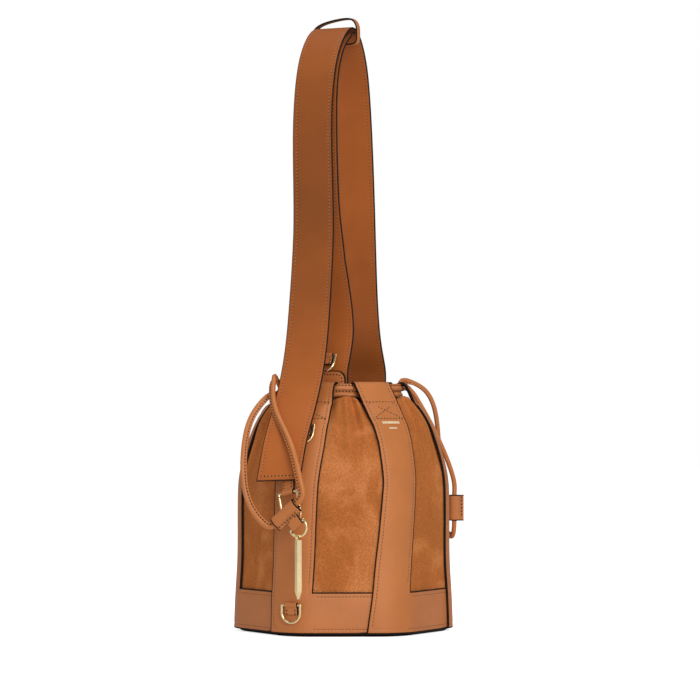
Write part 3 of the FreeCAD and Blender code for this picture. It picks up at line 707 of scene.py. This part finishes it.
def build_panel(name, corner):
    """A suede panel tucked under the strips beside it, with its top edge sagging at both sides."""
    heights = list(np.linspace(33, 150, 22)) + list(np.linspace(154, 215.5, 22))
    count = 44
    shares = [i / (count - 1) for i in range(count)]
    base = []
    for z in heights:
        start, end = face_span(corner, z, 3.0, 3.0)
        base.append([face_point(corner, start + (end - start) * share, z,
                                -1.6 + panel_relief(corner, share, z))[0] for share in shares])
    base = np.array(base)
    for i, share in enumerate(shares):
        sag = math.sin(3 * math.pi * share + corner) - 5.0 * math.exp(-((1 - share) / 0.16) ** 2)
        sag -= 3.5 * math.exp(-(share / 0.14) ** 2)
        for r, z in enumerate(heights):
            base[r, i, 2] += sag * max(0.0, (z - 190) / 25.5)
    inner = base - row_normals(base) * SUEDE_THICK
    pile = Pile()
    pile.grid(base, 0)
    pile.grid(inner[:, ::-1], 1)
    pile.grid([base[-1], inner[-1]], 1)
    finish_piece(pile, f"look_{name}", "bag", [name], [SUEDE, SUEDE_BACK])


# Lining and bottom


def ring_of_wall(z, out, per_side=24):
    """Points all round the wall at one height. out(corner, share) is how far each stands out."""
    points = []
    for corner in range(6):
        for i in range(per_side):
            share = i / per_side
            points.append(face_point(corner, side_length(z) * share, z, out(corner, share))[0])
    return points


def build_lining():
    """The inner bag: gathered below the mouth, turned over at its top edge, with a flat floor."""
    cloth, floor_cloth = 0.9, 0.8

    def slack(z):
        """The rule for how far the cloth hangs inside the wall at a height."""
        depth = np.interp(z, (7, 150, 190, 212), (4.2, 4.6, 7.6, 9.0))
        fold = np.interp(z, (60, 150, 200, 212), (0.1, 0.6, 1.8, 1.9))

        def rule(corner, share):
            turn = 2 * math.pi * (corner + share)
            wave = math.sin(turn * 3.0 + 0.02 * z) + 0.5 * math.sin(turn * 5.0 + 1.3)
            return -depth + fold * wave * 0.6
        return rule

    heights = list(np.linspace(7.2, 208, 42)) + [210.4, 211.3]
    outer = np.array([ring_of_wall(z, slack(z)) for z in heights])
    inner = outer.copy()
    inner[:, :, :2] *= 1.0 - cloth / np.linalg.norm(outer[:, :, :2], axis=2)[:, :, None]
    inner[0, :, 2] += floor_cloth
    floor_rows = [outer[0] * [share, share, 1.0] for share in (0.04, 0.4, 0.8)]
    lower = floor_rows + list(outer)
    upper = [row + [0, 0, floor_cloth] for row in floor_rows] + list(inner)
    pile = Pile()
    pile.grid(lower, 0, closed_columns=True)
    pile.grid([row[::-1] for row in upper], 0, closed_columns=True)
    pile.grid([outer[-1], (outer[-1] + inner[-1]) / 2 + [0, 0, 0.5], inner[-1]], 0, closed_columns=True)
    pile.add(upper[0], [tuple(range(len(upper[0])))], 0)
    pile.add(lower[0], [tuple(range(len(lower[0])))[::-1]], 0)
    finish_piece(pile, "look_lining", "bag", ["lining"], [LINING], clean=False)


def build_base_panel():
    """Leather bottom with a rounded turned-up rim and a stitch line round its underside.
    The rim's underside curve is black: the seam's painted edge, widened to paint the shade where the curve
    turns down to the floor.
    """
    # distance in from the wall and height; the fourth point is the bottom of the stitch groove
    rim = ((30.0, 0.0), (12.0, 0.0), (9.7, 0.05), (9.2, 0.3), (8.7, 0.05), (7.4, 0.0), (6.4, 0.15),
           (5.0, 0.8), (3.4, 1.8), (1.9, 2.9), (0.8, 3.7), (0.5, 4.2), (1.2, 4.3), (8.0, 4.3))
    groove, black_rim_from = 3, 6
    rows = []
    for inset, z in rim:
        row = np.array(ring_of_wall(4.0, lambda corner, share: -inset))
        row[:, 2] = z
        rows.append(row)
    pile = Pile()
    pile.grid([rows[0] * [0.02, 0.02, 1.0]] + rows[:black_rim_from + 1], FACE, closed_columns=True)
    # black over the rim's underside curve: painted edge of the seam, and painted shade under the bag's bottom
    # edge
    pile.grid(rows[black_rim_from:], EDGE, closed_columns=True)
    line = rows[groove] - [0, 0, 0.1]
    stitches(pile, np.vstack([line, line[:1]]), (0, 0, -1))
    finish_piece(pile, "look_base_panel", "bag", ["base_panel"], clean=False)


# Straps

# Mid-lines, from the sewn foot upwards: x, height.
LONG_STRAP = (
    (44.5, 222), (44.5, 231), (44.0, 240), (38.5, 256), (33, 275), (28, 312), (24, 375), (20, 435),
    (13.5, 495), (3.5, 533), (-15, 553.8), (-36, 541), (-51, 509), (-57, 455), (-55, 375), (-60, 300),
    (-68, 250), (-83.7, 208), (-98.9, 178), (-105.9, 158), (-111.2, 141),
)
SHORT_STRAP = (
    (-44.5, 222), (-44.5, 231), (-44.0, 240), (-37, 256), (-29.5, 275), (-27, 303), (-33, 345),
    (-42, 385), (-46, 425), (-47.5, 465), (-46, 500), (-39, 525), (-28, 540.5), (-14, 547.0),
    (-5, 542.0),
)


def strap_section(half, thick):
    """Outline of a doubled, stitched strap, starting at one edge, and the material of each side of it."""
    spots = [0.0, 0.5, 1.2, 2.6, 3.5, 4.4, 6.0]
    offsets = [-half + d for d in spots] + [-half / 2, 0.0, half / 2] + [half - d for d in reversed(spots)]
    top = [(a, thick / 2 + emboss(half - abs(a))) for a in offsets]
    edge = [(half + 0.3, thick * 0.2), (half + 0.3, -thick * 0.2)]
    bottom = [(a, -h) for a, h in reversed(top)]
    other = [(-half - 0.3, -thick * 0.2), (-half - 0.3, thick * 0.2)]
    outline = top + edge + bottom + other
    slots = []
    for i, (a, _) in enumerate(outline):
        after = outline[(i + 1) % len(outline)][0]
        slots.append(EDGE if abs(a) >= half - 0.6 and abs(after) >= half - 0.6 else FACE)
    return outline, slots


def build_strap(name, points, end_shape, yaw, drift_y, painted_light_and_shade):
    """A strap on its mid-line of (x, z) points.

    end_shape(a) is how far the end reaches out at the distance a from the mid-line. yaw (degrees), drift_y
    and the painted light and shade are tables over the share of the strap's length; the painted light and
    shade scales the strap's colour, darker where it turns away from the light and lighter where light falls
    on it.
    """
    pile = Pile()
    line = spline(points, 2.5)
    count = len(line)
    run = np.linspace(0, 1, count)
    path = np.stack([line[:, 0], np.interp(run, *drift_y), line[:, 1]], axis=1)
    ahead = headings(path)
    turn = np.radians(np.interp(run, *yaw))
    across = np.stack([np.sin(turn), np.cos(turn), np.zeros(count)], axis=1)
    across = unit(across - ahead * np.sum(across * ahead, axis=1, keepdims=True))
    normal = unit(np.cross(across, ahead))
    outline, slots = strap_section(STRAP_HALF, STRAP_THICK)
    rows = np.array([[path[i] + across[i] * a + normal[i] * h for a, h in outline] for i in range(count)])
    shaped = 24.0
    left = run_of(path[::-1])[::-1]
    for i in np.flatnonzero(left < shaped):
        for j, (a, _) in enumerate(outline):
            rows[i, j] += ahead[i] * end_shape(a) * (1 - left[i] / shaped)
    tube(pile, rows, slots)

    size = len(outline)
    top_count = (size - 4) // 2
    end_line = (rows[-1, :top_count] + rows[-1, top_count + 2:2 * top_count + 2][::-1]) / 2
    bead(pile, end_line, ahead[-1], normal[-1], 1.25, 0.6)
    for c, (a, h) in enumerate(outline):
        if abs(abs(a) - (STRAP_HALF - STITCH_INSET)) < 0.01:
            stitches(pile, rows[2:-2, c], normal[2:-2] * math.copysign(1.0, h))
    hem = rows[-1, 4:top_count - 4] - ahead[-1] * 3.8
    stitches(pile, hem, normal[-1])
    thing = finish_piece(pile, f"look_{name}", "strap", [name],
                         [SHADED_STRAP_LEATHER] + PARTS[1:], clean=False)
    # painted light and shade along the strap: its colour is darkened or lightened at each point
    shades = np.ones(len(thing.data.vertices))
    shades[:count * size] = np.repeat(np.interp(run, *painted_light_and_shade), size)
    thing.data.attributes.new("painted_light_and_shade", "FLOAT", "POINT").data.foreach_set("value", shades)


# Mid-line of the keeper's slumped loop seen along X: y, height.
KEEPER_LOOP = (
    (23.4, 541.5), (23.6, 547.0), (21.5, 553.5), (15.0, 558.3), (2.0, 561.6), (-12.0, 563.0), (-19.5, 561.4),
    (-23.2, 556.0), (-23.8, 548.5), (-23.2, 541.8), (-19.0, 539.6), (0.0, 539.6), (19.0, 539.6),
)


def build_keeper():
    """The loose loop round both layers of the strap."""
    low, high = (np.array(corner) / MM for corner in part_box("strap_keeper"))
    middle = (low + high) / 2
    pile = Pile()
    path = np.array([(middle[0], y, z) for y, z in spline(KEEPER_LOOP + KEEPER_LOOP[:1], 1.5)])[:-1]
    ahead = headings(path, closed=True)
    across = np.array([1.0, 0.0, 0.0])
    normal = unit(np.cross(ahead, across))
    half = (high[0] - low[0]) / 2
    section = [(-half + 0.3, 0.8), (half - 0.3, 0.8), (half, 0.4), (half, -0.4), (half - 0.3, -0.8),
               (-half + 0.3, -0.8), (-half, -0.4), (-half, 0.4)]
    slots = [FACE, EDGE, EDGE, EDGE, BACK, EDGE, EDGE, EDGE]
    sweep(pile, path, across, normal, section, slots, closed=True)
    finish_piece(pile, "look_strap_keeper", "keeper", ["strap_keeper"])


# Drawcords

# Each cord's side and height in the belt loops, its sleeve's two ends, and points of its hanging part on the
# way down from the loops and on the way back up.
LEFT_LOOP = {
    "side": -1, "height": 218.4, "sleeve": ((-117, -17.3, 120.5), (-117, 4.1, 103.0)),
    "down": ((-67, 28.0, 226.0), (-74.5, 29.2, 233.5), (-82.5, 27.2, 227), (-90, 22.5, 212), (-98, 10.8, 194),
             (-110, -9, 169), (-116, -21.5, 138), (-117, -23.6, 127.5)),
    "back": ((-117, 9.0, 99.6), (-117.3, 20.5, 107), (-117.3, 32, 124), (-115, 38, 150), (-99, 42.2, 190),
             (-87, 37.5, 208.5), (-74, 33.9, 217.6)),
}
RIGHT_LOOP = {
    "side": 1, "height": 224.1, "sleeve": ((80, -74, 100.5), (80, -74, 123.5)),
    "down": ((65, -26.0, 229.5), (71.5, -32.5, 229), (79.0, -43.5, 221), (84, -49.5, 207), (87.0, -52.3, 184),
             (96.5, -50.6, 130), (97, -53, 100), (92, -60, 88.6), (83, -70.5, 87)),
    "back": ((79.6, -73.6, 138), (66.6, -59.5, 185), (67.2, -42, 212), (65.8, -35.6, 221.5)),
}


def cord_path(loop):
    """One closed drawcord, as an open path that starts and ends inside the sleeve."""
    side, height, sleeve = loop["side"], loop["height"], loop["sleeve"]
    apothem = 51.8
    ring = []
    for corner in range(6):
        radial, along = corner_axes(corner)
        for share in (-0.62, 0.0, 0.62):
            spot = radial * apothem + along * apothem * math.tan(HALF_FACE) * share
            ring.append((spot[0], spot[1]))
    # The outlet is between corners 5 and 0, so the ring leaves out its first and last points.
    flat = [(59.0, -27.4), (53.4, -25.2)] + ring[1:-1] + [(49.6, -35.8), (58.0, -34.2)]
    neck = [(side * x, side * y, height - 0.4 * math.cos(6 * math.atan2(y, x))) for x, y in flat]
    middle = [tuple((np.array(sleeve[0]) + np.array(sleeve[1])) / 2)]
    return [*middle, sleeve[1], *loop["back"], *neck[::-1], *loop["down"], sleeve[0], *middle]


def build_cord(name, loop):
    """A drawcord: a strip of leather rolled round and stitched along its lip."""
    pile = Pile()
    path = spline(cord_path(loop), 2.2)
    ahead = headings(path)
    # the lip turns towards the bag's front left as well as outwards
    viewer = np.array([math.sin(CAMERA_TURN), -math.cos(CAMERA_TURN), 0.1])
    reference = unit(path * [1, 1, 0]) * 0.8 + unit(viewer) * 0.5
    normal = unit(reference - ahead * np.sum(reference * ahead, axis=1, keepdims=True))
    for _ in range(6):
        normal = unit(normal + np.roll(normal, 1, axis=0) + np.roll(normal, -1, axis=0))
        normal = unit(normal - ahead * np.sum(normal * ahead, axis=1, keepdims=True))
    across = np.cross(ahead, normal)
    radius, opening = 2.2, 0.62
    rolled = [(radius * math.cos(t) - radius / 2, radius * math.sin(t))
              for t in np.linspace(opening, 2 * math.pi - opening, 14)]
    lip = [(1.15, -0.72), (2.6, -0.9), (3.25, -0.4), (3.25, 0.4), (2.6, 0.9), (1.15, 0.72)]
    sweep(pile, path, across, normal, rolled + lip, FACE)
    for facing in (1.0, -1.0):
        line = path + across * 1.9 + normal * 0.86 * facing
        stitches(pile, line, normal * facing, pitch=3.0, length=2.1, radius=0.3)
    suffix = name.rsplit("_", 1)[1]
    nodes = [f"neck_cord_{suffix}", f"cord_loop_{suffix}"]
    thing = finish_piece(pile, f"look_{name}", None, nodes, [LEATHER_CORD] + PARTS[1:])
    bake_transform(thing)


def build_sleeve(name, body, sleeve, flap):
    """Leather wrapped over both cord ends, with its two edges stitched together as a flap."""
    a, b = np.array(sleeve[0], float), np.array(sleeve[1], float)
    ahead = unit(b - a)
    flap = unit(flap)
    out = np.cross(flap, ahead)
    pile = Pile()
    path = np.array([a + (b - a) * t for t in np.linspace(0, 1, 15)])
    # a squarish tube, open towards the flap
    half_wide, half_thick, opening = 5.0, 3.8, 0.42
    hollow = []
    for t in np.linspace(opening, 2 * math.pi - opening, 22):
        c, h = math.cos(t), math.sin(t)
        hollow.append((half_wide * math.copysign(abs(c) ** 0.7, c),
                       half_thick * math.copysign(abs(h) ** 0.7, h)))
    section = hollow + [(5.2, -1.15), (7.6, -1.15), (8.4, -0.5), (8.4, 0.5), (7.6, 1.15), (5.2, 1.15)]
    inner = [(x * 0.7, y * 0.62) for x, y in hollow]
    inner += [(4.4, -0.3), (6, -0.2), (7, -0.1), (7, 0.1), (6, 0.2), (4.4, 0.3)]
    sweep(pile, path, flap, out, section, FACE, caps=False)
    for i, sign in ((0, -1), (-1, 1)):
        rim = [path[i] + flap * x + out * y for x, y in section]
        hole = [path[i] + flap * x + out * y for x, y in inner]
        bulge = [(p + q) / 2 + ahead * 0.6 * sign for p, q in zip(rim, hole)]
        deep = [p - ahead * 3.0 * sign for p in hole]
        pile.grid([rim, bulge, hole, deep], EDGE, closed_columns=True)
        rim = np.array(rim) + ahead * 0.1 * sign
        rim_outward = unit(rim - path[i] - ahead * np.sum((rim - path[i]) * ahead, axis=1, keepdims=True))
        bead(pile, rim, rim_outward, ahead, 0.45, 0.3, closed=True)
    for facing in (1.0, -1.0):
        line = np.array([p + flap * 6.5 + out * 1.16 * facing for p in path])
        stitches(pile, line[1:-1], out * facing, pitch=3.0, length=2.1)
    finish_piece(pile, f"look_{name}", body, [name])


# Tabs


def build_tab(name, body, bar, axis, outward, down, width, length):
    """A leather tab folded over a ring's bar and stitched below it.

    bar is the middle of the bar, axis its direction, and down the way the tab hangs from it.
    """
    axis, outward, down = unit(axis), unit(outward), unit(down)
    pile = Pile()
    fold, thick = 2.4, 2.6
    front = thick - fold
    profile = [(front, -d) for d in np.linspace(length, 3.2, 5)] + [(front + 0.5, -2.5)]
    profile += [(fold * math.cos(t), fold * math.sin(t)) for t in np.linspace(-0.75, math.pi, 13)]
    profile += [(-fold, -d) for d in np.linspace(0.0, length, 6)]
    path = resample(np.array([bar + outward * x - down * z for x, z in profile]), 0.8)
    ahead = headings(path)
    normal = unit(np.cross(axis, ahead))
    if np.dot(normal[0], outward) < 0:
        normal = -normal
    half = width / 2
    sheet = 1.25
    section = [(-half, -0.4), (-half + 0.4, -0.05), (-half + 2.0, 0.0), (0, 0.0), (half - 2.0, 0.0),
               (half - 0.4, -0.05), (half, -0.4), (half, -sheet + 0.3), (half - 0.4, -sheet),
               (-half + 0.4, -sheet), (-half, -sheet + 0.3)]
    slots = [EDGE, FACE, FACE, FACE, FACE, EDGE, EDGE, EDGE, FACE, EDGE, EDGE]
    sweep(pile, path, axis, normal, section, slots)
    for side, height in ((1, front), (-1, -fold)):
        line = np.array([bar + outward * height + down * d for d in np.linspace(2.0, length - 0.8, 6)])
        for offset in (-half + 2.2, half - 2.2):
            stitches(pile, line + axis * offset, outward * side, pitch=2.6, length=1.9)
    finish_piece(pile, f"look_{name}", body, [name])


def rotate(v, axis, degrees):
    """A vector turned about an axis."""
    k = unit(axis)
    v = np.array(v, float)
    t = math.radians(degrees)
    return v * math.cos(t) + np.cross(k, v) * math.sin(t) + k * np.dot(k, v) * (1 - math.cos(t))


JOINTS = {joint["name"]: joint for joint in frame["joints"]}


def joint_place(name):
    """A joint's position in millimetres and its axis."""
    return np.array(JOINTS[name]["pos_m"]) / MM, unit(JOINTS[name]["axis"])


# Build everything

for strip_name, strip_corner in STRIPS.items():
    build_strip(strip_name, strip_corner)
for panel_name, panel_corner in PANELS.items():
    build_panel(panel_name, panel_corner)
build_lining()
build_base_panel()

# The long strap's colour is painted lighter on its far leg and tail and darker on its upper near leg, as the
# light falls on them. The short strap's colour is scaled up a little all along.
build_strap(
    "long_strap", LONG_STRAP, lambda a: 2.7 * (a / STRAP_HALF), yaw=((0, 0.55, 0.8, 1), (0, 0, -8, -14)),
    drift_y=((0, 0.7, 1), (0, 0, 4.0)),
    painted_light_and_shade=((0, 0.1, 0.35, 0.45, 0.55, 0.66, 0.78, 0.88, 1),
          (1.0, 1.2, 1.25, 1.0, 0.86, 0.74, 0.85, 1.2, 1.25)))
build_strap(
    "short_strap", SHORT_STRAP, lambda a: -12.0 * abs(a) / STRAP_HALF, yaw=((0, 1), (0, 0)),
    drift_y=((0, 0.08, 0.15, 0.26, 0.34), (-10.0, -9.5, -7.5, -2.5, 0.0)), painted_light_and_shade=((0, 1), (1.1, 1.1)))
build_keeper()

build_cord("cord_left", LEFT_LOOP)
build_cord("cord_right", RIGHT_LOOP)
left_run = unit(np.subtract(LEFT_LOOP["sleeve"][1], LEFT_LOOP["sleeve"][0]))
build_sleeve("cord_sleeve_left", "left_cord", LEFT_LOOP["sleeve"], np.cross([-1, 0, 0], left_run))
build_sleeve("cord_sleeve_right", "right_cord", RIGHT_LOOP["sleeve"], (0.5, -0.866, 0))

# Tabs whose ring hangs down against the leather: tab, its ring's joint, the body it is sewn to, its lean.
HANGING_TABS = (
    ("lower_d_tab_left", "lower_ring_left_flip", "bag", 0.0),
    ("lower_d_tab_right", "lower_ring_right_flip", "bag", 0.0),
    ("upper_d_tab_left", "upper_ring_left_flip", "bag", 21.0),
    ("upper_d_tab_right", "upper_ring_right_flip", "bag", 21.0),
    ("strap_d_tab", "strap_ring_flip", "strap", 27.0),
)
D_TAB_WIDTH, D_TAB_LENGTH, CLIP_TAB_LENGTH = 12.4, 8.6, 17.2
CHARM_TAB_WIDTH, CHARM_TAB_LENGTH = 13.0, 7.4
for tab_name, joint_name, tab_body, tab_lean in HANGING_TABS:
    bar_at, bar_axis = joint_place(joint_name)
    tab_outward = rotate(rotate(bar_axis, (0, 0, 1), 90), bar_axis, tab_lean)
    tab_down = rotate((0, 0, -1), bar_axis, tab_lean)
    build_tab(tab_name, tab_body, bar_at, bar_axis, tab_outward, tab_down, D_TAB_WIDTH, D_TAB_LENGTH)

# The clip's tab goes up between the tail's two layers, so it leans with the tail's end.
TAIL_LEAN, CLIP_TILT = 19.4, 12.0
bar_at, bar_axis = joint_place("clip_swing")
tail_outward = rotate(rotate((-1, 0, 0), (0, 1, 0), TAIL_LEAN), (1, 0, 0), -CLIP_TILT)
tail_upward = rotate(rotate((0, 0, 1), (0, 1, 0), TAIL_LEAN), (1, 0, 0), -CLIP_TILT)
build_tab("clip_tab", "strap", bar_at, bar_axis, tail_outward, tail_upward, D_TAB_WIDTH, CLIP_TAB_LENGTH)
bar_at, bar_axis = joint_place("charm_ring_swing")
build_tab("charm_tab", "left_cord", bar_at, bar_axis, (1, 0, 0), np.cross([1, 0, 0], bar_axis),
          CHARM_TAB_WIDTH, CHARM_TAB_LENGTH)

# Hard pieces are shown as the CAD makes them.
ROUND_METAL = ("lower_d_ring_left", "lower_d_ring_right", "upper_d_ring_left", "upper_d_ring_right",
               "strap_d_ring", "clip_ring", "clip_gate", "charm_ring")
for node in (*ROUND_METAL, "charm", "base_board"):
    mesh = frame["nodes"][node].data
    mesh.materials.clear()
    mesh.materials.append(BOARD if node == "base_board" else GOLD)
    if node != "base_board":
        mesh.polygons.foreach_set("use_smooth", [node in ROUND_METAL] * len(mesh.polygons))

# Studio, in metres


def seen_by_camera(tree, otherwise, seen, socket):
    """Gives a socket one value for camera rays and another for all other light."""
    camera_ray = add_node(tree, "LightPath", {}).outputs["Is Camera Ray"]
    choice = add_node(tree, "MapRange", {"Value": camera_ray, "To Min": otherwise, "To Max": seen})
    tree.links.new(choice.outputs["Result"], socket)


bpy.ops.mesh.primitive_plane_add(size=12.0, location=(0, 0, -0.0002))
floor = bpy.context.object
floor.name = "studio_floor"
paper, paper_tree, _ = new_material("studio_paper")
surface(paper_tree, {"Base Color": (0.93, 0.93, 0.93, 1), "Roughness": 0.9, "Emission Color": (1, 1, 1, 1)})
# Paper that the camera sees as near white, with only a faint shadow left under the bag.
seen_by_camera(paper_tree, 0.0, 0.78, paper_tree.nodes["Principled BSDF"].inputs["Emission Strength"])
floor.data.materials.append(paper)

CAMERA_DISTANCE, CAMERA_HEIGHT = 3.077, 0.22
FRAME_WIDTH = 0.6475
SENSOR_WIDTH = 36.0


def area_light(name, location, target, size, power):
    data = bpy.data.lights.new(name, "AREA")
    data.energy = power
    data.shape = "RECTANGLE"
    data.size, data.size_y = size
    lamp = bpy.data.objects.new(name, data)
    lamp.location = location
    lamp.rotation_euler = (Vector(target) - Vector(location)).to_track_quat("-Z", "Y").to_euler()
    bpy.context.scene.collection.objects.link(lamp)


towards_camera = Vector((math.sin(CAMERA_TURN), -math.cos(CAMERA_TURN), 0))
right = Vector((math.cos(CAMERA_TURN), math.sin(CAMERA_TURN), 0))
area_light("key", towards_camera * 2.05 + right * 0.55 + Vector((0, 0, 0.9)), (0, 0, 0.15), (1.0, 1.2), 21)
area_light("top", towards_camera * 0.5 + Vector((0, 0, 2.2)), (0, 0, 0.1), (1.4, 1.4), 17)

world = bpy.data.worlds.new("studio_world")
world.use_nodes = True
background = world.node_tree.nodes["Background"]
background.inputs["Color"].default_value = (1, 1, 1, 1)
# The camera sees the same white all round, while the light that reaches the bag from it stays soft and low.
seen_by_camera(world.node_tree, 0.33, 1.0, background.inputs["Strength"])
bpy.context.scene.world = world
bpy.context.scene.view_settings.view_transform = "Standard"
bpy.context.scene.view_settings.look = "None"

camera_data = bpy.data.cameras.new("camera")
camera_data.sensor_width = SENSOR_WIDTH
camera_data.lens = SENSOR_WIDTH * CAMERA_DISTANCE / FRAME_WIDTH
camera_data.shift_y = 0.0602
camera_data.clip_end = 50.0
camera = bpy.data.objects.new("camera", camera_data)
camera.location = towards_camera * CAMERA_DISTANCE + right * 0.006 + Vector((0, 0, CAMERA_HEIGHT))
camera.rotation_euler = (math.radians(90), 0, CAMERA_TURN)
bpy.context.scene.collection.objects.link(camera)
bpy.context.scene.camera = camera
